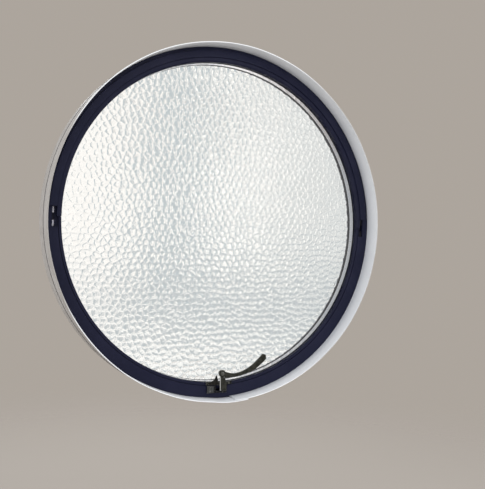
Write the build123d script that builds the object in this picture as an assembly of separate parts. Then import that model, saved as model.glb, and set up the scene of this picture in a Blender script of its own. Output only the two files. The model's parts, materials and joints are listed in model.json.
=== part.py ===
from build123d import *
import os
from math import asin, cos, degrees, radians, sin, sqrt

# Round porthole window that turns on two pivots at nine and three o'clock.
# The top of the sash comes into the room while the bottom goes out.
# The origin is the window's centre, on the pivot axis, at mid depth of the fixed frame.
# X runs along the pivots, +Y points out of the building and +Z is up. Sizes are in mm.

# Fixed frame, a rolled channel that is open towards the sash
face_radius = 375.0          # outer edge of the dark face seen from the room
barrel_step = 3.0            # how far the barrel stands outside that edge
web_thick = 6.0
flange_thick = 4.0
face_width = 13.5            # radial width of the plain flanges
liner_seat = 3.0             # depth of the step that takes the reveal liner
edge_round = 0.8
lap_round = 1.6
pivot_clear = 19.5           # half height of the break in the stops at each pivot

# Glazing unit and what holds it, stacked through the sash
upstand_thick = 4.0
tape_thick = 2.0
pane_thick = 4.0
cavity = 16.0
gasket_thick = 1.0
bead_ledge = 4.0
edge_gap = 2.0               # between the panes' edge and the sash web
edge_seal = 1.3              # depth of the sealant outside the spacer
spacer_height = 6.5
spacer_wall = 0.9
front_butyl = 0.5
rear_butyl = 2.2

# Sash, and how it laps the frame
running_gap = 5.0            # between the frame's flanges and the sash web
sash_web = 3.5
stop_gap = 1.5               # between a stop flange and the edge of the sash web
lap_gap = 0.5                # between the sash's lap flanges and the frame's faces
lap_thick = 4.0
lap_width = 6.5              # how far a stop covers the sash's edge, and a lap flange the frame's
seal_play = 0.4              # between a seal and the edge of the sash web
seal_width = 5.0
seal_inset = 0.5

# Glazing beads, one over each half of the sash
bead_inset = 0.3             # the bead covers this much more glass than the upstand
bead_play = 0.2              # between the web and a bead or a setting block
lower_bead_recess = 0.7      # the lower bead's top lies this far behind the frame's face
lower_bead_gap = 1.2         # between the lower bead and the stop flange's edge
upper_bead_recess = 2.0      # the upper bead's top lies this far behind the lap flange's face
lower_bead_chamfer = 1.4
upper_bead_chamfer = 3.0
bead_joint = 0.3
bead_screws_per_half = 6
setting_block_angles = (45, 135, 240, 300)
setting_block_turn = 4.0     # degrees of the circle that a setting block fills

# Reveal liner, a bent strip whose ends lap at the bottom
liner_thick = 2.2
liner_depth = 42.0
liner_play = 0.2
liner_start = -86.0          # degrees, anticlockwise from +X as seen from the room
liner_ramp_start = 264.0
liner_ramp_end = 272.0
liner_end = 278.0
liner_lap_gap = 0.3

# Pivots
pin_radius = 5.0
pin_play = 0.06
pin_wall = 2.0               # metal round the pin in the plate, the washer and the block
plate_thick = 3.0
plate_edge = 2.5             # from the plate's edges to the sash's faces
plate_end_gap = 0.5          # the plate ends this far short of the break in the stops
washer_thick = 1.7
washer_play = 0.15
block_edge = 3.5             # from the block's ends to the frame's flanges
plate_screw_edge = 4.5       # from the plate's edges to its screws
block_screw_edge = 5.0

# Screws
small_shank = 1.25
small_head = 1.9
base_shank = 1.5
base_head = 2.6
block_shank = 2.0
block_head = 3.6
keep_shank = 1.25
keep_head = 2.1
fit_play = 0.05
slot_width = 0.8
slot_depth = 0.7
screw_short = 0.8            # screws end this far short of the far side of what they hold

# Handle. Its lever turns on a pin that stands in front of the glass.
lever_x = 3.0                # the pin's place across the window
lever_rise = 20.4            # from the bead's inner edge up to the pin
foot_thick = 3.0
foot_left = 34.0             # from the pin to the foot's left end
foot_right = 25.6
foot_overhang = 0.8          # the foot reaches this far past the bead towards the glass
foot_gap = 1.3               # between the foot and the stop flange's edge
ear_length = 6.2             # from the foot's ends to its screws
ear_drop = 3.1               # from the foot's lower edge to its screws
post_left = 1.5              # from the pin to the left side of the post that carries it
post_right = 9.5
boss_wall = 1.8              # metal round the pin behind the lever's disc
hub_wall = 4.4
hub_height = 8.0
blade_thick = 4.5
nose_thick = 5.0
nose_play = 0.4              # between the nose and the keep, and under the hub
nose_gap = 1.5               # between the nose's end and the frame's plain flange
handle_pin_radius = 3.0
handle_pin_lip = 1.0
handle_pin_dome = 1.2
handle_pin_short = 0.5       # from the pin's end to the post's back
handle_washer_thick = 0.3
handle_washer_step = 0.6     # how far the washer's edge lies inside the boss's
lever_edge = 0.8

# Outlines in X and Z about the handle's pin
blade_upper = [
    (4.0, 4.6), (11.0, 2.1), (29.7, -1.0), (44.0, 1.6), (58.3, 7.3), (72.6, 16.3), (86.9, 28.7), (96.5, 38.1),
]
blade_end = (103.0, 36.0)
blade_lower = [
    (103.6, 26.2), (87.4, 12.7), (73.0, 3.2), (58.6, -1.6),
    (44.3, -6.2), (30.0, -8.6), (15.8, -9.4), (4.0, -9.0),
]
blade_corner = 2.0
nose_points = [
    (-3.3, -3.0), (5.6, -3.0), (7.7, -12.0), (10.8, -20.0), (11.2, -42.0), (-2.0, -42.0), (-3.3, -10.0),
]
wing_apex = (-9.6, -5.2)
wing_shoulder = (-10.5, -5.6)
wing_hollow = (-13.9, -13.4)
wing_side = (-7.2, -13.5)
wing_heel = (-4.4, -25.4)
wing_toe_inset = 1.0         # from the foot's left end to the wing's
wing_toe_drop = 1.4          # from the bead's inner edge to the top of the wing's end
wing_toe_height = 2.4

# Keep, a plate on the frame below the handle with a lug on each side of its notch
keep_thick = 1.5
lug_thick = 3.6
keep_left = 31.3             # from the pin to the keep's left end
keep_right = 13.5
notch_left = 11.0            # from the pin to the notch's left side
notch_right = 16.0
left_lug_width = 17.2
right_lug_left = 5.0
keep_top_gap = 0.6
left_lug_height = 14.4
keep_strip = 4.0
wedge_run = 5.0
keep_screw_side = 6.5        # from the lug's left end to its screws
keep_screw_edge = 3.7        # from the lug's upper and lower edges to its screws

# Weep slots in the bottom of the outer flange
weep_length = 20.0
weep_height = 4.0
weep_angle = 14.0

# Sizes that follow from those above
sash_half = (upstand_thick + tape_thick + 2 * pane_thick + cavity + gasket_thick + bead_ledge) / 2
half_depth = sash_half + stop_gap + flange_thick
barrel_radius = face_radius + barrel_step
web_radius = barrel_radius - web_thick
tip_radius = face_radius - face_width
sash_radius = tip_radius - running_gap
sash_bore = sash_radius - sash_web
stop_radius = sash_radius - lap_width
lap_radius = tip_radius + lap_width
lap_face = half_depth + lap_gap + lap_thick
pane_radius = sash_bore - edge_gap
spacer_radius = pane_radius - edge_seal
bead_radius = spacer_radius - spacer_height
upstand_radius = bead_radius + bead_inset
upstand_y = sash_half - upstand_thick
outer_pane_y = upstand_y - tape_thick - pane_thick
inner_pane_y = outer_pane_y - cavity - pane_thick
bead_y = inner_pane_y - gasket_thick
lower_bead_y = -half_depth + lower_bead_recess
upper_bead_y = -lap_face + upper_bead_recess
stop_angle = degrees(asin(pivot_clear / stop_radius))
lever_z = -(bead_radius - lever_rise)
hub_radius = handle_pin_radius + hub_wall
boss_radius = handle_pin_radius + boss_wall
hub_back = -half_depth - lug_thick - nose_play
hub_front = hub_back - hub_height
post_front = hub_back + nose_play
notch_x = (lever_x - notch_left, lever_x + notch_right)
plate_x = sash_radius + plate_thick
block_x = plate_x + washer_thick + 2 * washer_play
pivot_half_height = pin_radius + pin_wall
plate_half_height = pivot_clear - plate_end_gap
plate_half_depth = sash_half - plate_edge
block_half_depth = half_depth - flange_thick - block_edge
plate_screw_y = plate_half_depth - plate_screw_edge
block_screw_y = block_half_depth - block_screw_edge
plate_screw_length = plate_thick + sash_web - screw_short
block_screw_length = barrel_radius - block_x - screw_short
bead_screw_length = sash_radius - bead_radius - screw_short
base_screw_length = foot_thick + bead_y - lower_bead_y - screw_short
keep_screw_length = lug_thick + flange_thick - screw_short
over = 1.0                   # how far a cut runs past the surface


def section(points, rounds=()):
    """Flat outline of (radius, y) points, with some corners rounded: (index, radius)."""
    face = make_face(Polyline(*points, close=True))
    for index, radius in rounds:
        corner = face.vertices().sort_by_distance(Vector(*points[index]))[0]
        face = fillet(corner, radius)
    return face


def turned(face, start=0.0, stop=360.0):
    """Turn a section round the window's axis, between two angles seen from the room."""
    return revolve(Rot(0, -stop, 0) * face, Axis.Y, stop - start)


def band(radius_in, radius_out, y_from, y_to, start=0.0, stop=360.0, rounds=()):
    corners = [(radius_in, y_from), (radius_out, y_from), (radius_out, y_to), (radius_in, y_to)]
    return turned(section(corners, rounds), start, stop)


def slab(sketch, y_back, y_front):
    """Give an outline in X and Z its thickness, from its back face towards the room."""
    place = Plane(origin=(0, y_back, 0), x_dir=(1, 0, 0), z_dir=(0, -1, 0))
    return extrude(place * sketch, y_back - y_front)


def block(x_from, x_to, y_from, y_to, z_from, z_to):
    centre = ((x_from + x_to) / 2, (y_from + y_to) / 2, (z_from + z_to) / 2)
    return Pos(*centre) * Box(x_to - x_from, y_to - y_from, z_to - z_from)


def rod_y(radius, y_from, y_to, x=0.0, z=0.0):
    return Pos(x, (y_from + y_to) / 2, z) * Rot(90, 0, 0) * Cylinder(radius, y_to - y_from)


def rod_x(radius, x_from, x_to, y=0.0, z=0.0):
    return Pos((x_from + x_to) / 2, y, z) * Rot(0, 90, 0) * Cylinder(radius, x_to - x_from)


def screw_hole(head, shank, length, play=fit_play):
    """Countersunk hole, its mouth at the origin and its depth along -Z."""
    outline = Polyline((0, 0), (head + play, 0), (shank + play, shank - head), (shank + play, -length - play),
                       (0, -length - play), close=True)
    return revolve(Plane.XZ * make_face(outline), Axis.Z)


def screws_at(places, head, shank, length):
    """Countersunk screws with slotted heads."""
    slot = Pos(0, 0, -slot_depth / 2) * Box(2 * head, slot_width, slot_depth)
    screw = screw_hole(head, shank, length, 0.0) - slot
    return [place * screw for place in places]


def facing_room(x, y, z):
    """Place of a screw whose head faces the room."""
    return Plane(origin=(x, y, z), x_dir=(1, 0, 0), z_dir=(0, -1, 0)).location


def facing_centre(radius, y, angle):
    """Place of a screw whose head faces the window's axis."""
    out = Vector(cos(radians(angle)), 0, sin(radians(angle)))
    return Plane(origin=out * radius + Vector(0, y, 0), x_dir=(0, 1, 0), z_dir=-out).location


def facing_away(radius, y, angle):
    """Place of a screw whose head faces away from the window's axis."""
    return facing_centre(-radius, y, angle + 180)


def on_circle(radius, x):
    """Height of a point on a circle round the window's axis, in the lower half."""
    return -sqrt(radius ** 2 - x ** 2)


# Places of the screws

bead_screw_y = (bead_y - sash_half) / 2
bead_screw_count = 2 * bead_screws_per_half
bead_screw_angles = [(index + 0.5) * 360 / bead_screw_count for index in range(bead_screw_count)]
bead_screw_places = [facing_centre(bead_radius, bead_screw_y, angle) for angle in bead_screw_angles]
foot_radius = stop_radius - foot_gap
foot_y = lower_bead_y - foot_thick
ear_screw_radius = foot_radius - ear_drop
base_screw_places = [
    facing_room(x, foot_y, on_circle(ear_screw_radius, x))
    for x in (lever_x - foot_left + ear_length, lever_x + foot_right - ear_length)
]
keep_lug_y = -half_depth - lug_thick
left_lug_x = (lever_x - keep_left, lever_x - keep_left + left_lug_width)
right_lug_x = (lever_x + right_lug_left, lever_x + keep_right)
keep_top = stop_radius + keep_top_gap
keep_screw_x = left_lug_x[0] + keep_screw_side
keep_screw_places = [
    facing_room(keep_screw_x, keep_lug_y, on_circle(radius, keep_screw_x))
    for radius in (keep_top + keep_screw_edge, keep_top + left_lug_height - keep_screw_edge)
]
plate_screw_places = [
    facing_away(plate_x, y, angle) for angle in (0, 180) for y in (-plate_screw_y, plate_screw_y)
]
block_screw_places = [
    facing_centre(block_x, y, angle) for angle in (0, 180) for y in (-block_screw_y, block_screw_y)
]


# Fixed frame


def outer_frame():
    h = half_depth
    f = flange_thick
    channel = section([
        (face_radius, -h), (face_radius, -h + liner_seat), (barrel_radius, -h + liner_seat),
        (barrel_radius, h), (tip_radius, h), (tip_radius, h - f), (web_radius, h - f),
        (web_radius, -h + f), (tip_radius, -h + f), (tip_radius, -h),
    ], rounds=[(0, edge_round), (3, edge_round)])
    body = turned(channel)
    room_stop = [(stop_radius, -h), (tip_radius, -h), (tip_radius, -h + f), (stop_radius, -h + f)]
    outer_stop = [(radius, -y) for radius, y in room_stop]
    body += turned(section(room_stop, [(0, edge_round)]), 180 + stop_angle, 360 - stop_angle)
    body += turned(section(outer_stop, [(0, edge_round)]), stop_angle, 180 - stop_angle)
    # The notch that the handle's nose passes as the sash swings out
    body -= block(*notch_x, -h - over, -h + f + over, -tip_radius, -stop_radius / 2)
    # The outer flange is cut away beside each pivot
    for side in (-1, 1):
        ends = sorted((side * (tip_radius - over), side * web_radius * cos(radians(stop_angle))))
        body -= block(*ends, h - f - over, h + over, -pivot_clear, pivot_clear)
    for angle in (270 - weep_angle, 270 + weep_angle):
        half = weep_length / 2
        slot = block(web_radius - weep_height, web_radius, h - f - over, h + over, -half, half)
        body -= Rot(0, -angle, 0) * slot
    for place in keep_screw_places:
        body -= place * screw_hole(keep_head, keep_shank, keep_screw_length)
    for place in block_screw_places:
        body -= place * screw_hole(block_head, block_shank, block_screw_length)
    return body


def reveal_liner():
    """A strip bent to a hoop. Its end runs outside its start, below the handle."""
    lift = liner_thick + liner_lap_gap
    inner = face_radius + liner_play
    outer = inner + liner_thick
    ramp = liner_ramp_end

    def point(radius, angle):
        return (radius * cos(radians(angle)), radius * sin(radians(angle)))

    def arc(radius, start, stop):
        return CenterArc((0, 0), radius, start, stop - start)

    edges = [
        arc(inner, liner_start, liner_ramp_start),
        Line(point(inner, liner_ramp_start), point(inner + lift, ramp)),
        arc(inner + lift, ramp, liner_end),
        Line(point(inner + lift, liner_end), point(outer + lift, liner_end)),
        arc(outer + lift, ramp, liner_end),
        Line(point(outer + lift, ramp), point(outer, liner_ramp_start)),
        arc(outer, liner_start, liner_ramp_start),
        Line(point(outer, liner_start), point(inner, liner_start)),
    ]
    back = -half_depth + liner_seat - liner_play
    return slab(make_face(edges), back, back - liner_depth)


def lower_seal():
    """Rubber strip behind the room-side stop, in two lengths, one each side of the notch."""
    radius_in = stop_radius + seal_inset
    y_from = -half_depth + flange_thick
    y_to = y_from + stop_gap - seal_play
    ends = [270 + degrees(asin(x / radius_in)) for x in (notch_x[0] - seal_inset, notch_x[1] + seal_inset)]
    spans = [(180 + stop_angle, ends[0]), (ends[1], 360 - stop_angle)]
    return [band(radius_in, radius_in + seal_width, y_from, y_to, *span) for span in spans]


def upper_seal():
    """Rubber strip in front of the outer stop."""
    radius_in = stop_radius + seal_inset
    y_to = half_depth - flange_thick
    y_from = y_to - stop_gap + seal_play
    return band(radius_in, radius_in + seal_width, y_from, y_to, stop_angle, 180 - stop_angle)


def keep_plate():
    """Plate with a lug on each side of the notch. The left lug starts with a wedge."""
    y = -half_depth
    left, right = lever_x - keep_left, lever_x + keep_right
    bottom = -(tip_radius + keep_strip)
    ring = Circle(over - bottom) - Circle(keep_top)
    strip = Circle(over - bottom) - Circle(tip_radius + keep_top_gap)

    def window(x_from, x_to, z_from, z_to):
        return Pos((x_from + x_to) / 2, (z_from + z_to) / 2) * Rectangle(x_to - x_from, z_to - z_from)

    base = ring & window(left, notch_x[0], bottom, 0)
    base += strip & window(left, right, bottom, 0)
    left_lug = (Circle(keep_top + left_lug_height) - Circle(keep_top)) & window(*left_lug_x, bottom, 0)
    right_lug = strip & window(*right_lug_x, bottom, 0)
    body = slab(base, y, y - keep_thick) + slab(left_lug + right_lug, y, y - lug_thick)
    # The nose rides up this slope as the lever is pressed down
    rise = lug_thick - keep_thick
    end = left_lug_x[1]
    wedge = Polyline((end, y - lug_thick - over), (end - wedge_run, y - lug_thick),
                     (end + over, y - lug_thick + rise), (end + over, y - lug_thick - over), close=True)
    body -= Pos(0, 0, bottom) * extrude(make_face(wedge), -bottom)
    for place in keep_screw_places:
        body -= place * screw_hole(keep_head, keep_shank, keep_screw_length)
    return body


# Sash


def sash_frame():
    s = sash_half
    web = section([
        (sash_radius, -s), (sash_radius, s), (upstand_radius, s), (upstand_radius, upstand_y),
        (sash_bore, upstand_y), (sash_bore, -s),
    ], rounds=[(2, edge_round)])
    body = turned(web)
    lap = [
        (sash_bore, -s), (sash_bore, -lap_face), (lap_radius, -lap_face),
        (lap_radius, -lap_face + lap_thick), (sash_radius, -lap_face + lap_thick), (sash_radius, -s),
    ]
    outer_lap = [(radius, -y) for radius, y in lap]
    body += turned(section(lap, [(2, lap_round)]), stop_angle, 180 - stop_angle)
    body += turned(section(outer_lap, [(2, lap_round)]), 180 + stop_angle, 360 - stop_angle)
    for place in bead_screw_places:
        body -= place * screw_hole(small_head, small_shank, bead_screw_length)
    for place in plate_screw_places:
        body -= place * screw_hole(small_head, small_shank, plate_screw_length)
    for side in (-1, 1):
        ends = sorted((side * (sash_bore - over), side * (sash_radius + over)))
        body -= rod_x(pin_radius + fit_play, *ends)
    return body


def glazing_bead_upper():
    c = upper_bead_chamfer
    outer = sash_bore - bead_play
    profile = section([
        (outer, bead_y), (outer, upper_bead_y), (bead_radius + c, upper_bead_y),
        (bead_radius, upper_bead_y + c), (bead_radius, bead_y),
    ], rounds=[(1, edge_round)])
    trim = degrees(bead_joint / outer)
    return with_bead_holes(turned(profile, trim, 180 - trim))


def glazing_bead_lower():
    c = lower_bead_chamfer
    outer = sash_bore - bead_play
    nose = stop_radius - lower_bead_gap
    profile = section([
        (outer, bead_y), (outer, -sash_half), (nose, -sash_half), (nose, lower_bead_y),
        (bead_radius + c, lower_bead_y), (bead_radius, lower_bead_y + c), (bead_radius, bead_y),
    ])
    trim = degrees(bead_joint / outer)
    body = with_bead_holes(turned(profile, 180 + trim, 360 - trim))
    for place in base_screw_places:
        body -= place * screw_hole(base_head, base_shank, base_screw_length)
    return body


def with_bead_holes(body):
    for place in bead_screw_places:
        body -= place * screw_hole(small_head, small_shank, bead_screw_length)
    return body


def pane(y_from):
    return rod_y(pane_radius, y_from, y_from + pane_thick)


def bead_gasket():
    return band(bead_radius + bead_inset, pane_radius, bead_y, bead_y + gasket_thick)


def glazing_tape():
    return band(upstand_radius, pane_radius, upstand_y - tape_thick, upstand_y)


def spacer_bar():
    """Metal channel between the panes, open towards the edge sealant."""
    y_from = inner_pane_y + pane_thick + front_butyl
    y_to = outer_pane_y - rear_butyl
    w = spacer_wall
    outer = spacer_radius
    return turned(section([
        (bead_radius, y_from), (outer, y_from), (outer, y_from + w), (bead_radius + w, y_from + w),
        (bead_radius + w, y_to - w), (outer, y_to - w), (outer, y_to), (bead_radius, y_to),
    ]))


def butyl_seal():
    """Two strips of butyl, between each side of the spacer and its pane."""
    front = inner_pane_y + pane_thick
    return [
        band(bead_radius, spacer_radius, front, front + front_butyl),
        band(bead_radius, spacer_radius, outer_pane_y - rear_butyl, outer_pane_y),
    ]


def edge_sealant():
    return band(spacer_radius, pane_radius, inner_pane_y + pane_thick, outer_pane_y)


def setting_blocks():
    """Plastic blocks that centre the glazing unit in the sash."""
    half = setting_block_turn / 2
    y_to = outer_pane_y + pane_thick
    return [
        band(pane_radius, sash_bore - bead_play, inner_pane_y, y_to, angle - half, angle + half)
        for angle in setting_block_angles
    ]


# Pivots, made for the right side and turned half round for the left


def on_side(body, side):
    return body if side > 0 else Rot(0, 180, 0) * body


def pivot_block(side):
    """Bearing block inside the frame's channel, screwed to its web."""
    outer_x = sqrt(web_radius ** 2 - pivot_half_height ** 2)
    y, z = block_half_depth, pivot_half_height
    body = block(block_x, outer_x, -y, y, -z, z)
    body -= rod_x(pin_radius + pin_play, block_x - over, outer_x + over)
    body = on_side(body, side)
    for place in block_screw_places:
        body -= place * screw_hole(block_head, block_shank, block_screw_length)
    return body


def pivot_plate(side):
    """Plate on the sash web that carries the pin."""
    y, z = plate_half_depth, plate_half_height
    body = block(sash_radius, plate_x, -y, y, -z, z)
    body -= rod_x(pin_radius + fit_play, sash_radius - over, plate_x + over)
    body = on_side(body, side)
    for place in plate_screw_places:
        body -= place * screw_hole(small_head, small_shank, plate_screw_length)
    return body


def pivot_pin(side):
    end_x = sqrt(web_radius ** 2 - pivot_half_height ** 2) - fit_play
    return on_side(rod_x(pin_radius, sash_bore + fit_play, end_x), side)


def pivot_washer(side):
    x_from = plate_x + washer_play
    body = rod_x(pivot_half_height, x_from, x_from + washer_thick)
    body -= rod_x(pin_radius + fit_play, x_from - over, x_from + washer_thick + over)
    return on_side(body, side)


# Handle


def handle_base():
    """Foot on the lower bead, with a post that holds the pin and a pointed wing beside it."""
    left, right = lever_x - foot_left, lever_x + foot_right
    foot = Circle(foot_radius) - Circle(bead_radius - foot_overhang)
    foot &= Pos((left + right) / 2, -foot_radius) * Rectangle(right - left, foot_radius)
    body = slab(foot, lower_bead_y, foot_y)
    boss = Pos(lever_x, lever_z) * Circle(boss_radius)
    post_height = foot_radius + lever_z
    post = Pos(lever_x + (post_left + post_right) / 2, lever_z - post_height / 2)
    post *= Rectangle(post_right - post_left, post_height)
    body += slab((boss + post) & Circle(foot_radius), lower_bead_y, post_front)
    body += slab(wing_outline(), lower_bead_y, post_front)
    for place in base_screw_places:
        body -= place * screw_hole(base_head, base_shank, base_screw_length)
    return body - pin_hole(post_front, lower_bead_y)


def pin_hole(y_front, y_back):
    return rod_y(handle_pin_radius + fit_play, y_front - over, y_back + over, lever_x, lever_z)


def at_pin(point):
    return (lever_x + point[0], lever_z + point[1])


def wing_outline():
    """Pointed wing beside the nose, with a hollow left edge that runs down to the foot's end."""
    points = (wing_apex, wing_shoulder, wing_hollow, wing_side, wing_heel)
    apex, shoulder, hollow, side, heel = [at_pin(point) for point in points]
    toe_x = lever_x - foot_left + wing_toe_inset
    toe = (toe_x, on_circle(bead_radius + wing_toe_drop, toe_x))
    toe_foot = (toe_x, toe[1] - wing_toe_height)
    edge = Spline(shoulder, hollow, toe, tangents=[(-0.25, -1), (-1, -0.25)])
    return make_face([
        Line(apex, shoulder), edge, Line(toe, toe_foot),
        Line(toe_foot, heel), Line(heel, side), Line(side, apex),
    ])


def lever_outline():
    """Blade of the lever: a slim neck that sweeps up and widens to a blunt tip."""
    upper = [at_pin(point) for point in blade_upper]
    lower = [at_pin(point) for point in blade_lower]
    end = at_pin(blade_end)
    sides = [Spline(*upper), Line(upper[-1], end), Line(end, lower[0]), Spline(*lower)]
    blade = make_face([*sides, Line(lower[-1], upper[0])])
    for corner in (upper[-1], end, lower[0]):
        blade = fillet(blade.vertices().sort_by_distance(Vector(*corner))[0], blade_corner)
    return blade


def nose_outline():
    """Nose below the hub. Its end is cut to a circle round the window's axis."""
    nose = make_face(Polyline(*[at_pin(point) for point in nose_points], close=True))
    return nose & Circle(tip_radius - nose_gap)


def handle_lever():
    """Disc with the blade in its plane, a boss behind it and the nose below."""
    disc = rod_y(hub_radius, hub_front, hub_front + blade_thick, lever_x, lever_z)
    body = fillet(disc.edges().group_by(Axis.Y)[0], lever_edge)
    body += rod_y(boss_radius, hub_front + blade_thick / 2, hub_back, lever_x, lever_z)
    body += slab(lever_outline(), hub_front + blade_thick, hub_front)
    body += slab(nose_outline(), hub_back, hub_back - nose_thick)
    return body - pin_hole(hub_front, hub_back)


def handle_pin():
    """Pin with a domed head, fixed in the post."""
    head_y = hub_front - fit_play
    end_y = lower_bead_y - handle_pin_short
    shank = rod_y(handle_pin_radius, head_y - handle_pin_dome / 2, end_y, lever_x, lever_z)
    head = handle_pin_radius + handle_pin_lip
    ball = (head ** 2 + handle_pin_dome ** 2) / (2 * handle_pin_dome)
    dome = Pos(0, 0, handle_pin_dome - ball) * Sphere(ball)
    dome &= Pos(0, 0, handle_pin_dome / 2) * Cylinder(head, handle_pin_dome)
    return shank + facing_room(lever_x, head_y, lever_z) * dome


def handle_washer():
    y_to = post_front - fit_play
    y_from = y_to - handle_washer_thick
    body = rod_y(boss_radius - handle_washer_step, y_from, y_to, lever_x, lever_z)
    return body - pin_hole(y_from, y_to)


pieces = {
    "outer_frame": outer_frame(),
    "reveal_liner": reveal_liner(),
    "lower_seal": lower_seal(),
    "upper_seal": upper_seal(),
    "pivot_block_left": pivot_block(-1),
    "pivot_block_right": pivot_block(1),
    "pivot_block_screws": screws_at(block_screw_places, block_head, block_shank, block_screw_length),
    "keep_plate": keep_plate(),
    "keep_screws": screws_at(keep_screw_places, keep_head, keep_shank, keep_screw_length),
    "sash_frame": sash_frame(),
    "glazing_bead_upper": glazing_bead_upper(),
    "glazing_bead_lower": glazing_bead_lower(),
    "bead_screws": screws_at(bead_screw_places, small_head, small_shank, bead_screw_length),
    "inner_pane": pane(inner_pane_y),
    "outer_pane": pane(outer_pane_y),
    "spacer_bar": spacer_bar(),
    "butyl_seal": butyl_seal(),
    "edge_sealant": edge_sealant(),
    "bead_gasket": bead_gasket(),
    "glazing_tape": glazing_tape(),
    "setting_blocks": setting_blocks(),
    "pivot_pin_left": pivot_pin(-1),
    "pivot_pin_right": pivot_pin(1),
    "pivot_plate_left": pivot_plate(-1),
    "pivot_plate_right": pivot_plate(1),
    "pivot_plate_screws": screws_at(plate_screw_places, small_head, small_shank, plate_screw_length),
    "pivot_washer_left": pivot_washer(-1),
    "pivot_washer_right": pivot_washer(1),
    "handle_base": handle_base(),
    "handle_base_screws": screws_at(base_screw_places, base_head, base_shank, base_screw_length),
    "handle_pin": handle_pin(),
    "handle_washer": handle_washer(),
    "handle_lever": handle_lever(),
}

os.makedirs("parts", exist_ok=True)
for name, piece in pieces.items():
    shape = Compound(children=piece) if isinstance(piece, list) else piece
    export_step(shape, f"parts/{name}.step")
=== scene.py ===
import json
import math
import bpy
import numpy as np
from mathutils import Matrix, Vector
from mathutils.geometry import delaunay_2d_cdt

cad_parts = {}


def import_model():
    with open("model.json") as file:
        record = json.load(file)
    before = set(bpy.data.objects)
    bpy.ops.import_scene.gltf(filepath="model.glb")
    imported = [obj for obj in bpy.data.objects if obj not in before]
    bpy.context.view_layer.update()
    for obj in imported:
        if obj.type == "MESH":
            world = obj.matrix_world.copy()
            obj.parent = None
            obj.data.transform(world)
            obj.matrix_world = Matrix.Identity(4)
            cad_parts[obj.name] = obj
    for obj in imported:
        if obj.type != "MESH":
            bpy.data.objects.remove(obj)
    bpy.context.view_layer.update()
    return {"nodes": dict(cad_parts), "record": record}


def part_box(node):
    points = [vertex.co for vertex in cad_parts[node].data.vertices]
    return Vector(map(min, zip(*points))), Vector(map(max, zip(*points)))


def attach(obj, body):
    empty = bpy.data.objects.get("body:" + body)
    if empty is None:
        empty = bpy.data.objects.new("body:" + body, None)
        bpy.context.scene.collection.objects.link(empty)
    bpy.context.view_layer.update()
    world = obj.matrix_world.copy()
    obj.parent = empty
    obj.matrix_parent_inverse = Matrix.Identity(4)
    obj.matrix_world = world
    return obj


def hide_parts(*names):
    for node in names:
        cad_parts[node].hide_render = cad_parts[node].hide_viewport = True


# A round porthole window, double glazed, with a cast relief on its outer pane.
# Lengths are in metres. X runs along the pivots, +Y points out of the building and +Z is up.

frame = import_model()
scene = bpy.context.scene
MM = 0.001

# Camera
camera_place = Vector((-0.610, -1.401, -0.042))
camera_yaw = math.radians(25.5)
camera_pitch = math.radians(-0.13)
camera_roll = math.radians(1.55)
focal_pixels = 700.0
image_height = 489.0
sensor = 36.0

# Colours, linear
backdrop_colour = (0.415, 0.376, 0.336, 1.0)
plaster = (0.36, 0.33, 0.30, 1.0)
navy = (0.0097, 0.0110, 0.0320, 1.0)
navy_light = (0.0130, 0.0143, 0.0380, 1.0)

# Places on the part that the finishes, the painted shade and the painted highlights follow
frame_bare = 376.5 * MM                 # plaster starts outside this radius on the frame,
liner_bare = 376.2 * MM                 # and outside this one on the liner
smear_left = (-350 * MM, -310 * MM)     # the liner's front edge is smeared left of here,
smear_right = (120 * MM, 260 * MM)      # and right of here
liner_shade_depths = (-46 * MM, -24 * MM)     # painted shade darkens the liner from the room to the frame
plate_radius = 360.2 * MM               # the pivot plates end at this radius; painted shade covers the pivot parts beyond it
pin_shade_heights = (6.4 * MM, 8.0 * MM)      # the painted shade round the pins ends at these heights
keep_depths = (-26.2 * MM, -25.0 * MM)  # painted shade covers the keep behind the front of its lug, and all of it to the right of here
lug_side = -8 * MM                      # and all to the right of here is painted
nose_back = -26.8 * MM                  # the painted highlight on the nose's left flank lies in front of this depth, and below these heights
nose_heights = (-332 * MM, -328 * MM)   # and below these heights
edge_wear_and_highlight_reach = 0.6 * MM                    # how far the rubbed edges and their painted highlight reach


# Node helpers


def node(tree, kind, inputs=None, **settings):
    made = tree.nodes.new("ShaderNode" + kind)
    for key, value in settings.items():
        setattr(made, key, value)
    for key, value in (inputs or {}).items():
        if isinstance(value, bpy.types.NodeSocket):
            tree.links.new(value, made.inputs[key])
        else:
            made.inputs[key].default_value = value
    return made


def new_material(name):
    material = bpy.data.materials.new(name)
    material.use_nodes = True
    tree = material.node_tree
    tree.nodes.clear()
    shader = node(tree, "BsdfPrincipled")
    output = node(tree, "OutputMaterial")
    tree.links.new(shader.outputs["BSDF"], output.inputs["Surface"])
    return material, tree, shader


def place_in(tree, scale=(1, 1, 1)):
    """Position in the object, which is the part's own frame for every piece."""
    coordinates = node(tree, "TexCoord")
    mapping = node(tree, "Mapping", {"Vector": coordinates.outputs["Object"], "Scale": scale})
    return mapping.outputs["Vector"]


def noise(tree, vector, scale, detail=3.0, roughness=0.5):
    inputs = {"Vector": vector, "Scale": scale, "Detail": detail, "Roughness": roughness}
    return node(tree, "TexNoise", inputs).outputs["Fac"]


def spread(tree, value, low, high, out_low=0.0, out_high=1.0):
    inputs = {"Value": value, "From Min": low, "From Max": high, "To Min": out_low, "To Max": out_high}
    return node(tree, "MapRange", inputs, interpolation_type="SMOOTHSTEP").outputs["Result"]


def blend_colour(tree, factor, first, second):
    mixer = node(tree, "Mix", data_type="RGBA")
    for socket, value in ((mixer.inputs[0], factor), (mixer.inputs[6], first), (mixer.inputs[7], second)):
        if isinstance(value, bpy.types.NodeSocket):
            tree.links.new(value, socket)
        else:
            socket.default_value = value
    return mixer.outputs[2]


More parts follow.
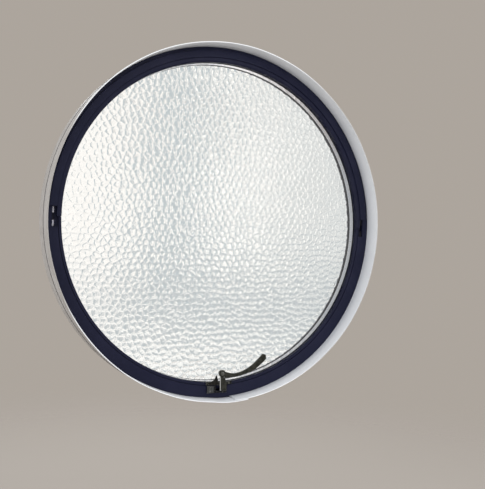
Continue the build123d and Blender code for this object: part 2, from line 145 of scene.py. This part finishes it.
def maths(tree, operation, first, second=0.0):
    made = node(tree, "Math", operation=operation)
    for socket, value in ((made.inputs[0], first), (made.inputs[1], second)):
        if isinstance(value, bpy.types.NodeSocket):
            tree.links.new(value, socket)
        else:
            socket.default_value = value
    return made.outputs[0]


def bump(tree, height, strength, distance):
    inputs = {"Height": height, "Strength": strength, "Distance": distance}
    return node(tree, "Bump", inputs).outputs["Normal"]


def uneven_roughness(tree, shader, at, scale, detail, high, least, most):
    """Let the roughness wander between two values."""
    value = spread(tree, noise(tree, at, scale, detail), 0.3, high, least, most)
    tree.links.new(value, shader.inputs["Roughness"])


# Materials


def radius_of(tree, at):
    """Distance from the window's axis, and the vector that it is measured along."""
    flat = node(tree, "VectorMath", {0: at, 1: (1, 0, 1)}, operation="MULTIPLY").outputs["Vector"]
    return node(tree, "VectorMath", {0: flat}, operation="LENGTH").outputs["Value"], flat


def plastered(tree, colour, at, bare_radius, smeared):
    """Plaster on what faces away from the window's axis, smeared over the front edge at the sides."""
    radius, flat = radius_of(tree, at)
    normal = node(tree, "TexCoord").outputs["Normal"]
    out = node(tree, "VectorMath", {0: flat}, operation="NORMALIZE").outputs["Vector"]
    facing = node(tree, "VectorMath", {0: normal, 1: out}, operation="DOT_PRODUCT").outputs["Value"]
    beyond = maths(tree, "GREATER_THAN", radius, bare_radius)
    mask = maths(tree, "MULTIPLY", beyond, spread(tree, facing, 0.4, 0.7))
    front = spread(tree, node(tree, "SeparateXYZ", {"Vector": normal}).outputs[1], -0.8, -0.5, 1.0, 0.0)
    across = node(tree, "SeparateXYZ", {"Vector": at}).outputs[0]
    left = spread(tree, across, *smear_left, smeared, 0.0)
    right = spread(tree, across, *smear_right, 0.0, 0.7 * smeared)
    smear = maths(tree, "MAXIMUM", left, right)
    mask = maths(tree, "MAXIMUM", mask, maths(tree, "MULTIPLY", front, smear))
    grain = spread(tree, noise(tree, at, 220.0, 5.0, 0.65), 0.3, 0.7)
    coat = blend_colour(tree, grain, tuple(0.86 * part for part in plaster[:3]) + (1.0,), plaster)
    return blend_colour(tree, mask, colour, coat)


def paint():
    """Satin navy stove enamel with a faint orange peel, dust and rubbed patches."""
    material, tree, shader = new_material("navy_enamel")
    at = place_in(tree)
    cloud = spread(tree, noise(tree, at, 14.0, 4.0), 0.35, 0.70)
    colour = blend_colour(tree, cloud, navy, navy_light)
    specks = spread(tree, noise(tree, at, 900.0, 2.0), 0.68, 0.80)
    colour = blend_colour(tree, maths(tree, "MULTIPLY", specks, 0.25), colour, (0.06, 0.06, 0.08, 1.0))
    tree.links.new(plastered(tree, colour, at, frame_bare, 0.0), shader.inputs["Base Color"])
    uneven_roughness(tree, shader, at, 40.0, 5.0, 0.75, 0.40, 0.60)
    peel = noise(tree, at, 420.0, 2.0)
    tree.links.new(bump(tree, peel, 0.25, 0.0004), shader.inputs["Normal"])
    shader.inputs["Specular IOR Level"].default_value = 0.2
    return material


def liner_white():
    """White lacquer with faint brush lines, with painted shade that darkens it from the room towards the
    frame, and plastered on its outside.
    """
    material, tree, shader = new_material("white_lacquer")
    at = place_in(tree)
    y = node(tree, "SeparateXYZ", {"Vector": at}).outputs[1]
    cloud = spread(tree, noise(tree, at, 9.0, 4.0), 0.3, 0.7, 0.0, 0.3)
    # Random tone, plus painted shade that darkens the liner deeper in, towards the frame
    light = maths(tree, "ADD", cloud, spread(tree, y, *liner_shade_depths, 0.7, 0.0))
    colour = blend_colour(tree, light, (0.74, 0.755, 0.79, 1.0), (0.955, 0.97, 0.985, 1.0))
    tree.links.new(plastered(tree, colour, at, liner_bare, 0.9), shader.inputs["Base Color"])
    uneven_roughness(tree, shader, at, 30.0, 4.0, 0.7, 0.38, 0.55)
    lines = noise(tree, place_in(tree, (30, 900, 30)), 1.0, 3.0)
    tree.links.new(bump(tree, lines, 0.15, 0.0004), shader.inputs["Normal"])
    return material


def rubber():
    """Black rubber with dust in its pores."""
    material, tree, shader = new_material("black_rubber")
    at = place_in(tree)
    dust = spread(tree, noise(tree, at, 60.0, 5.0), 0.45, 0.75)
    colour = blend_colour(tree, dust, (0.012, 0.012, 0.013, 1.0), (0.030, 0.030, 0.032, 1.0))
    tree.links.new(colour, shader.inputs["Base Color"])
    shader.inputs["Roughness"].default_value = 0.75
    tree.links.new(bump(tree, noise(tree, at, 1500.0, 2.0), 0.2, 0.0002), shader.inputs["Normal"])
    return material


def butyl():
    """Black butyl, slightly wavy in tone."""
    material, tree, shader = new_material("dark_butyl")
    at = place_in(tree)
    wave = spread(tree, noise(tree, at, 120.0, 3.0), 0.35, 0.65)
    colour = blend_colour(tree, wave, (0.006, 0.006, 0.009, 1.0), (0.013, 0.013, 0.018, 1.0))
    tree.links.new(colour, shader.inputs["Base Color"])
    shader.inputs["Roughness"].default_value = 0.7
    shader.inputs["Specular IOR Level"].default_value = 0.2
    return material


def spacer_metal():
    """Rolled aluminium with fine lines that run round the window."""
    material, tree, shader = new_material("mill_aluminium")
    at = place_in(tree)
    cloud = spread(tree, noise(tree, at, 35.0, 3.0), 0.3, 0.7)
    colour = blend_colour(tree, cloud, (0.93, 0.91, 0.97, 1.0), (0.99, 0.97, 1.0, 1.0))
    tree.links.new(colour, shader.inputs["Base Color"])
    shader.inputs["Metallic"].default_value = 1.0
    uneven_roughness(tree, shader, at, 80.0, 3.0, 0.7, 0.16, 0.28)
    lines = noise(tree, place_in(tree, (20, 2500, 20)), 1.0, 2.0)
    tree.links.new(bump(tree, lines, 0.2, 0.0002), shader.inputs["Normal"])
    return material


def screw_zinc():
    """Zinc plate with a mottled shine."""
    material, tree, shader = new_material("zinc_screw")
    at = place_in(tree)
    cloud = spread(tree, noise(tree, at, 200.0, 4.0), 0.3, 0.7)
    colour = blend_colour(tree, cloud, (0.3744, 0.3744, 0.3888, 1.0), (0.52, 0.52, 0.54, 1.0))
    tree.links.new(colour, shader.inputs["Base Color"])
    shader.inputs["Metallic"].default_value = 1.0
    uneven_roughness(tree, shader, at, 350.0, 3.0, 0.7, 0.30, 0.45)
    tree.links.new(bump(tree, noise(tree, at, 1800.0, 2.0), 0.15, 0.0002), shader.inputs["Normal"])
    return material


def pivot_metal():
    """Zinc on the plate at the left, made bright and lilac as a painted glint; painted shade on the other
    plate, beyond the plates and round the pins.
    """
    material, tree, shader = new_material("pivot_steel")
    at = place_in(tree)
    cloud = spread(tree, noise(tree, at, 200.0, 4.0), 0.3, 0.7)
    # Zinc, made bright and lilac as a painted glint on the left plate
    zinc_glint = blend_colour(tree, cloud, (0.86, 0.83, 0.97, 1.0), (0.98, 0.95, 1.0, 1.0))
    # Navy painted shade
    coat = blend_colour(tree, cloud, navy_light, (0.024, 0.025, 0.052, 1.0))
    beyond = maths(tree, "GREATER_THAN", radius_of(tree, at)[0], plate_radius)
    x, _, z = node(tree, "SeparateXYZ", {"Vector": at}).outputs
    pin_shade = spread(tree, maths(tree, "ABSOLUTE", z), *pin_shade_heights, 1.0, 0.0)
    right_plate_shade = maths(tree, "GREATER_THAN", x, 0.0)
    # Painted shade beyond the plates, round the pins and over all of the right plate, so that only the
    # left plate shows its painted glint
    painted_shade = maths(tree, "MAXIMUM", maths(tree, "MAXIMUM", beyond, pin_shade), right_plate_shade)
    tree.links.new(blend_colour(tree, painted_shade, zinc_glint, coat), shader.inputs["Base Color"])
    shader.inputs["Metallic"].default_value = 0.2
    uneven_roughness(tree, shader, at, 350.0, 3.0, 0.7, 0.40, 0.60)
    tree.links.new(bump(tree, noise(tree, at, 1800.0, 2.0), 0.15, 0.0002), shader.inputs["Normal"])
    return material


def keep_shade(tree, at):
    """Painted shade on the keep: all of it but the front of its left lug."""
    x, y, _ = node(tree, "SeparateXYZ", {"Vector": at}).outputs
    return maths(tree, "MAXIMUM", spread(tree, y, *keep_depths), maths(tree, "GREATER_THAN", x, lug_side))


def bronze(name, dark, light, painted_shade=None):
    """Old bronze lacquer, greenish grey, rubbed bright along its edges with a painted highlight there too,
    and with a painted highlight on the nose's left flank.
    """
    material, tree, shader = new_material(name)
    at = place_in(tree)
    patina = spread(tree, noise(tree, at, 180.0, 5.0, 0.6), 0.35, 0.68)
    colour = blend_colour(tree, patina, dark, light)
    if painted_shade:
        # Painted shade, near black, where the given mask asks for it
        colour = blend_colour(tree, painted_shade(tree, at), colour, (0.014, 0.014, 0.015, 1.0))
    round_normal = node(tree, "Bevel", {"Radius": edge_wear_and_highlight_reach}, samples=6).outputs["Normal"]
    normal = node(tree, "NewGeometry").outputs["Normal"]
    edge = node(tree, "VectorMath", {0: round_normal, 1: normal}, operation="DOT_PRODUCT").outputs["Value"]
    # Edges rubbed bright, partly wear and partly a painted highlight
    wear_and_highlight = spread(tree, edge, 0.80, 0.98, 0.5, 0.0)
    wear_and_highlight = maths(tree, "MULTIPLY", wear_and_highlight, spread(tree, noise(tree, at, 90.0, 4.0), 0.35, 0.60, 0.25, 1.0))
    y, z = node(tree, "SeparateXYZ", {"Vector": at}).outputs[1:3]
    facing = node(tree, "SeparateXYZ", {"Vector": node(tree, "TexCoord").outputs["Normal"]}).outputs[0]
    # Painted highlight on the faces turned to the left at the front of the nose
    to_left = spread(tree, facing, -0.9, -0.5, 1.0, 0.0)
    flank_highlight = maths(tree, "MULTIPLY", to_left, maths(tree, "LESS_THAN", y, nose_back))
    flank_highlight = maths(tree, "MULTIPLY", flank_highlight, spread(tree, z, *nose_heights, 1.0, 0.0))
    wear_and_highlight = maths(tree, "MAXIMUM", wear_and_highlight, flank_highlight)
    # A pale colour for the rubbed edges and the painted highlights
    colour = blend_colour(tree, wear_and_highlight, colour, (0.80, 0.79, 0.74, 1.0))
    tree.links.new(colour, shader.inputs["Base Color"])
    # The painted highlight on the flank is also less metallic
    tree.links.new(spread(tree, flank_highlight, 0.0, 1.0, 0.75, 0.1), shader.inputs["Metallic"])
    uneven_roughness(tree, shader, at, 260.0, 4.0, 0.75, 0.30, 0.50)
    bumps = node(tree, "Bump", {
        "Height": noise(tree, at, 700.0, 4.0), "Strength": 0.3, "Distance": 0.0004, "Normal": round_normal,
    })
    tree.links.new(bumps.outputs["Normal"], shader.inputs["Normal"])
    return material


def plastic():
    """Dark nylon, slightly cloudy."""
    material, tree, shader = new_material("dark_nylon")
    at = place_in(tree)
    cloud = spread(tree, noise(tree, at, 150.0, 3.0), 0.3, 0.7)
    colour = blend_colour(tree, cloud, (0.018, 0.018, 0.020, 1.0), (0.030, 0.030, 0.033, 1.0))
    tree.links.new(colour, shader.inputs["Base Color"])
    shader.inputs["Roughness"].default_value = 0.5
    return material


def clear_glass():
    """Float glass with a faint film of dust."""
    material, tree, shader = new_material("clear_glass")
    at = place_in(tree)
    film = spread(tree, noise(tree, at, 25.0, 4.0), 0.3, 0.75)
    colour = blend_colour(tree, film, (0.988, 0.992, 0.992, 1.0), (0.975, 0.982, 0.982, 1.0))
    tree.links.new(colour, shader.inputs["Base Color"])
    shader.inputs["Roughness"].default_value = 0.0
    shader.inputs["IOR"].default_value = 1.5
    shader.inputs["Transmission Weight"].default_value = 1.0
    return material


def obscure_glass():
    """Cast glass. Its cells are in the mesh, and a finer ripple is in the bump."""
    material, tree, shader = new_material("obscure_glass")
    at = place_in(tree)
    film = spread(tree, noise(tree, at, 60.0, 4.0), 0.3, 0.75)
    colour = blend_colour(tree, film, (0.985, 0.995, 0.995, 1.0), (0.950, 0.970, 0.975, 1.0))
    tree.links.new(colour, shader.inputs["Base Color"])
    shader.inputs["Roughness"].default_value = 0.03
    shader.inputs["IOR"].default_value = 1.5
    shader.inputs["Transmission Weight"].default_value = 1.0
    ripple = noise(tree, at, 125.0, 2.0)
    tree.links.new(bump(tree, ripple, 0.5, 0.0011), shader.inputs["Normal"])
    return material


enamel = paint()
white = liner_white()
black = rubber()
butyl_black = butyl()
spacer_finish = spacer_metal()
screw_steel = screw_zinc()
pivot_steel = pivot_metal()
bronze_finish = bronze("old_bronze", (0.028, 0.029, 0.022, 1.0), (0.070, 0.070, 0.057, 1.0))
dark_bronze = bronze("dark_bronze", (0.010, 0.010, 0.009, 1.0), (0.036, 0.034, 0.028, 1.0))
keep_bronze = bronze("keep_bronze", (0.060, 0.062, 0.060, 1.0), (0.120, 0.123, 0.118, 1.0), keep_shade)
# A lighter copy of the bronze: wear and a painted highlight on the pin head and the base's screws
worn_highlight_bronze = bronze("worn_highlight_bronze", (0.12, 0.12, 0.105, 1.0), (0.24, 0.24, 0.21, 1.0))
nylon = plastic()
glass = clear_glass()
cast_glass = obscure_glass()

slot_finish = {
    "frame_paint": enamel,
    "liner": white,
    "seal": black,
    "butyl": butyl_black,
    "handle_bronze": bronze_finish,
    "screw": screw_steel,
    "pivot_steel": pivot_steel,
    "spacer": spacer_finish,
    "plastic": nylon,
    "clear_glass": glass,
    "obscure_glass": cast_glass,
}
node_finish = {
    "keep_plate": keep_bronze,
    "keep_screws": keep_bronze,
    "handle_pin": worn_highlight_bronze,
    "handle_base": dark_bronze,
    "handle_base_screws": worn_highlight_bronze,
}
for part in frame["record"]["subparts"]:
    mesh = frame["nodes"][part["node"]].data
    mesh.materials.clear()
    mesh.materials.append(node_finish.get(part["node"], slot_finish[part["material_slot"]]))


# Mesh helpers


def new_piece(name, points, faces, material):
    mesh = bpy.data.meshes.new(name)
    mesh.from_pydata([tuple(point) for point in points], [], faces)
    mesh.validate()
    mesh.materials.append(material)
    mesh.shade_smooth()
    piece = bpy.data.objects.new(name, mesh)
    scene.collection.objects.link(piece)
    return piece


def loft(name, rings, material):
    """Skin a list of rings, each with the same number of points, and close both ends."""
    count = len(rings[0])
    points = [point for ring in rings for point in ring]
    faces = []
    for span in range(len(rings) - 1):
        first, second = span * count, (span + 1) * count
        for index in range(count):
            after = (index + 1) % count
            faces.append((first + index, first + after, second + after, second + index))
    faces.append(tuple(reversed(range(count))))
    faces.append(tuple(range(len(points) - count, len(points))))
    return new_piece(name, points, faces, material)


def rounded_rectangle(x_low, x_high, y_low, y_high, radius, steps):
    corners = (
        (x_high - radius, y_high - radius, 0), (x_low + radius, y_high - radius, 90),
        (x_low + radius, y_low + radius, 180), (x_high - radius, y_low + radius, 270),
    )
    outline = []
    for x, y, start in corners:
        for step in range(steps + 1):
            angle = math.radians(start + 90 * step / steps)
            outline.append((x + radius * math.cos(angle), y + radius * math.sin(angle)))
    return outline


def around(angle, radius, y):
    return (radius * math.cos(angle), y, radius * math.sin(angle))


# Outer pane with its cast relief: low domes with narrow grooves between them

relief_cell = 14.0 * MM
relief_jitter = 0.34
relief_seed = 7
groove_depth = 0.75 * MM
groove_half = 1.2 * MM
shoulder_depth = 0.34 * MM
dome_depth = 0.08 * MM
dome_lift = (-0.06, 0.10)   # millimetres that a dome may stand lower or higher
dome_tilt = 0.012
dome_least = 0.55           # a dome keeps at least this share of its cell
site_margin = 0.3           # cells whose centres lie this share of a cell from the edge are left out


def circumcentre(a, b, c):
    first, second = b - a, c - a
    twice = 2 * (first.x * second.y - first.y * second.x)
    x = (second.y * first.length_squared - first.y * second.length_squared) / twice
    z = (first.x * second.length_squared - second.x * first.length_squared) / twice
    return a + Vector((x, z))


def relief_cells(radius):
    """Centres of the domes, the corners between them and the corners round each centre."""
    random = np.random.default_rng(relief_seed)
    row_height = relief_cell * math.sqrt(3) / 2
    reach = int(radius / row_height) + 2
    sites = []
    for row in range(-reach, reach + 1):
        for column in range(-reach, reach + 1):
            shift = random.uniform(-relief_jitter, relief_jitter, 2) * relief_cell
            site = Vector(((column + row % 2 / 2) * relief_cell + shift[0], row * row_height + shift[1]))
            if site.length < radius - site_margin * relief_cell:
                sites.append(site)
    # The centres near the edge are mirrored in it, so that their cells end there
    sites += [
        site * (2 * radius / site.length - 1) for site in sites if site.length > radius - 2 * relief_cell
    ]
    centres, _, triangles = delaunay_2d_cdt(sites, [], [], 0, 1e-9)[:3]
    corners = []
    loops = [[] for _ in centres]
    for index, triangle in enumerate(triangles):
        corner = circumcentre(*(centres[vertex] for vertex in triangle))
        corners.append(corner * min(1, radius / corner.length))
        for vertex in triangle:
            loops[vertex].append(index)
    cells = []
    for centre, loop in zip(centres, loops):
        if centre.length < radius:
            loop.sort(key=lambda index: math.atan2(*reversed(corners[index] - centre)))
            middle = sum((corners[index] for index in loop), Vector((0, 0))) / len(loop)
            cells.append((middle, loop))
    return corners, cells, random


def cast_pane():
    low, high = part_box("outer_pane")
    radius = high.x
    corners, cells, random = relief_cells(radius)
    points = [(corner.x, high.y - groove_depth, corner.y) for corner in corners]
    halves = {}
    faces = []

    def add(flat, depth):
        points.append((flat.x, high.y - depth, flat.y))
        return len(points) - 1

    def half_way(first, second):
        key = (min(first, second), max(first, second))
        if key not in halves:
            halves[key] = add((corners[first] + corners[second]) / 2, groove_depth)
        return halves[key]

    def ring(outer, inner):
        count = len(outer)
        for index in range(count):
            after = (index + 1) % count
            faces.append((outer[index], inner[index], inner[after], outer[after]))

    for middle, loop in cells:
        edge = []
        for index, corner in enumerate(loop):
            edge += [corner, half_way(corner, loop[(index + 1) % len(loop)])]
        lift = random.uniform(*dome_lift) * MM
        tilt = random.uniform(-dome_tilt, dome_tilt, 2)
        shoulder, crown = [], []
        for index in edge:
            out = Vector((points[index][0], points[index][2])) - middle
            reach = max(out.length, 0.1 * MM)
            near = out * max(dome_least, 1 - groove_half / reach)
            shoulder.append(add(middle + near, shoulder_depth + near.x * tilt[0] + near.y * tilt[1]))
            crown.append(add(middle + out / 2, dome_depth + lift))
        top = add(middle, lift)
        ring(edge, shoulder)
        ring(shoulder, crown)
        for index in range(len(crown)):
            faces.append((crown[index], top, crown[(index + 1) % len(crown)]))
    # Rim and plain inner face
    sides = {pair for face in faces for pair in zip(face, face[1:] + face[:1])}
    rim = [pair for pair in sides if pair[::-1] not in sides]
    back = {}
    for index in sorted({first for first, _ in rim} | {second for _, second in rim}):
        back[index] = len(points)
        points.append((points[index][0], low.y, points[index][2]))
    middle = add(Vector((0, 0)), high.y - low.y)
    relief_faces = len(faces)
    for first, second in sorted(rim):
        faces.append((second, first, back[first], back[second]))
        faces.append((back[second], back[first], middle))
    pane = new_piece("cast_pane", points, faces, cast_glass)
    for polygon in pane.data.polygons[relief_faces:]:
        polygon.use_smooth = False
    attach(pane, "sash")
    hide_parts("outer_pane")


cast_pane()

# Reveal liner, a hand-bent strip whose end laps over its start at the bottom

liner_inner = 375.2 * MM
liner_outer = 377.4 * MM
liner_edge = 0.8 * MM
liner_start = -86.0
liner_end = 278.0
liner_ramp = (264.0, 272.0)
liner_lift = 2.5 * MM
liner_wave = 0.35 * MM
liner_steps = 364


def smooth_step(value):
    value = min(max(value, 0.0), 1.0)
    return value * value * (3 - 2 * value)


def reveal_liner():
    low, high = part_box("reveal_liner")
    section = rounded_rectangle(liner_inner, liner_outer, low.y, high.y, liner_edge, 3)
    rings = []
    for step in range(liner_steps + 1):
        degrees = liner_start + (liner_end - liner_start) * step / liner_steps
        angle = math.radians(degrees)
        lift = liner_lift * smooth_step((degrees - liner_ramp[0]) / (liner_ramp[1] - liner_ramp[0]))
        wave = liner_wave * math.sin(3.1 * angle + 0.7) * math.sin(7.3 * angle)
        rings.append([
            around(angle, radius + lift + abs(wave) * (high.y - y) / (high.y - low.y), y)
            for radius, y in section
        ])
    liner = loft("liner_strip", rings, white)
    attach(liner, "frame")
    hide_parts("reveal_liner")


reveal_liner()

# Stage

floor_centre = (0, 0.2, -0.95)
floor_radius = 3.0
floor_fade = (1.1, 2.9)


def stage():
    bpy.ops.mesh.primitive_circle_add(
        vertices=96, radius=floor_radius, fill_type="NGON", location=floor_centre,
    )
    floor = bpy.context.object
    floor.name = "studio_floor"
    material = bpy.data.materials.new("studio_floor")
    material.use_nodes = True
    tree = material.node_tree
    tree.nodes.clear()
    at = node(tree, "TexCoord").outputs["Object"]
    distance = node(tree, "VectorMath", {0: at}, operation="LENGTH").outputs["Value"]
    fade = spread(tree, distance, *floor_fade)
    body = node(tree, "BsdfDiffuse", {"Color": backdrop_colour})
    clear = node(tree, "BsdfTransparent")
    mixed = node(tree, "MixShader", {0: fade, 1: body.outputs[0], 2: clear.outputs[0]})
    output = node(tree, "OutputMaterial")
    tree.links.new(mixed.outputs[0], output.inputs["Surface"])
    floor.data.materials.append(material)


stage()


# World: a plain pale room, and a bright overcast day outside


def world():
    studio = bpy.data.worlds.new("studio")
    scene.world = studio
    studio.use_nodes = True
    tree = studio.node_tree
    tree.nodes.clear()
    direction = node(tree, "TexCoord").outputs["Generated"]
    parts = node(tree, "SeparateXYZ", {"Vector": direction})
    x, y, z = parts.outputs
    outside = spread(tree, y, -0.05, 0.12)
    turn = maths(tree, "ARCTAN2", x, y)

    def between(degrees, more_degrees, *ends):
        return spread(tree, turn, math.radians(degrees), math.radians(more_degrees), *ends)

    # Outside: a patchy white sky, bright to the left and grey to the right, with a soft grey post
    # between the two and a soft ground line
    patch = spread(tree, noise(tree, direction, 27.0, 4.0, 0.6), 0.38, 0.56)
    sky = blend_colour(tree, patch, (0.61, 0.60, 0.585, 1.0), (1.34, 1.30, 1.25, 1.0))
    sky = blend_colour(tree, between(24, 31, 0.0, 0.60), sky, (0.58, 0.61, 0.61, 1.0))
    sky = blend_colour(tree, between(13, 19, 0.85, 0.0), sky, (1.12, 1.07, 1.02, 1.0))
    post = maths(tree, "ABSOLUTE", maths(tree, "SUBTRACT", turn, math.radians(19.6)))
    post = spread(tree, post, math.radians(1.2), math.radians(3.2), 1.0, 0.0)
    above = spread(tree, z, -0.12, -0.05)
    sky = blend_colour(tree, maths(tree, "MULTIPLY", post, above), sky, (0.56, 0.61, 0.63, 1.0))
    ground = maths(tree, "ABSOLUTE", maths(tree, "ADD", z, 0.105))
    ground = spread(tree, ground, 0.010, 0.080, 0.9, 0.0)
    ground = maths(tree, "MULTIPLY", ground, between(11, 17, 0.4, 1.0))
    sky = blend_colour(tree, ground, sky, (0.50, 0.54, 0.56, 1.0))
    sky = blend_colour(tree, spread(tree, z, -0.19, -0.14, 0.6, 0.0), sky, (1.12, 1.10, 1.06, 1.0))
    # Far to the side, up and down it is darker, so that the grooves of the cast glass show
    sides = maths(tree, "MAXIMUM", between(-10, 2, 1.0, 0.0), between(50, 62))
    ends = maths(tree, "MAXIMUM", spread(tree, z, 0.30, 0.50), spread(tree, z, -0.62, -0.44, 1.0, 0.0))
    dark = maths(tree, "MAXIMUM", sides, ends)
    sky = blend_colour(tree, dark, sky, (0.46, 0.48, 0.48, 1.0))
    room = (0.62, 0.60, 0.57, 1.0)
    through = blend_colour(tree, outside, room, sky)
    # What shiny surfaces see of the room: a bright side to the right
    side = spread(tree, x, 0.05, 0.65)
    mirror_room = blend_colour(tree, side, (0.30, 0.29, 0.28, 1.0), (0.55, 0.56, 0.60, 1.0))
    mirror = blend_colour(tree, outside, mirror_room, (1.0, 1.0, 1.0, 1.0))
    lit = (0.92, 0.93, 0.95, 1.0)
    rays = node(tree, "LightPath").outputs
    colour = blend_colour(tree, rays["Is Glossy Ray"], lit, mirror)
    colour = blend_colour(tree, rays["Is Transmission Ray"], colour, through)
    colour = blend_colour(tree, rays["Is Camera Ray"], colour, backdrop_colour)
    background = node(tree, "Background", {"Color": colour, "Strength": 1.0})
    output = node(tree, "OutputWorld")
    tree.links.new(background.outputs[0], output.inputs["Surface"])


world()


def lamp(name, place, aim, size, power, tint):
    data = bpy.data.lights.new(name, "AREA")
    data.shape = "DISK"
    data.size = size
    data.energy = power
    data.color = tint
    light = bpy.data.objects.new(name, data)
    light.location = place
    light.rotation_mode = "QUATERNION"
    light.rotation_quaternion = (Vector(aim) - Vector(place)).to_track_quat("-Z", "Y")
    light.visible_camera = False
    light.visible_transmission = False
    scene.collection.objects.link(light)


lamp("room_key", (1.6, -1.8, 1.5), (0, 0, 0), 1.2, 14.0, (1.0, 0.98, 0.95))
lamp("room_fill", (-1.6, -1.5, 0.3), (0, 0, 0), 1.6, 12.0, (0.93, 0.96, 1.0))
lamp("daylight", (0.4, 2.2, 1.4), (0, 0, 0), 1.6, 14.0, (0.95, 0.98, 1.0))


# Camera


def camera():
    ahead = Vector((
        math.sin(camera_yaw) * math.cos(camera_pitch),
        math.cos(camera_yaw) * math.cos(camera_pitch),
        math.sin(camera_pitch),
    ))
    right = Vector((math.cos(camera_yaw), -math.sin(camera_yaw), 0))
    up = right.cross(ahead)
    turned_right = math.cos(camera_roll) * right + math.sin(camera_roll) * up
    turned_up = -math.sin(camera_roll) * right + math.cos(camera_roll) * up
    data = bpy.data.cameras.new("camera")
    data.sensor_fit = "AUTO"
    data.sensor_width = sensor
    data.lens = focal_pixels * sensor / image_height
    data.clip_start = 0.05
    data.clip_end = 50.0
    eye = bpy.data.objects.new("camera", data)
    matrix = Matrix((turned_right, turned_up, -ahead)).transposed().to_4x4()
    matrix.translation = camera_place
    eye.matrix_world = matrix
    scene.collection.objects.link(eye)
    scene.camera = eye


camera()
scene.view_settings.view_transform = "Standard"
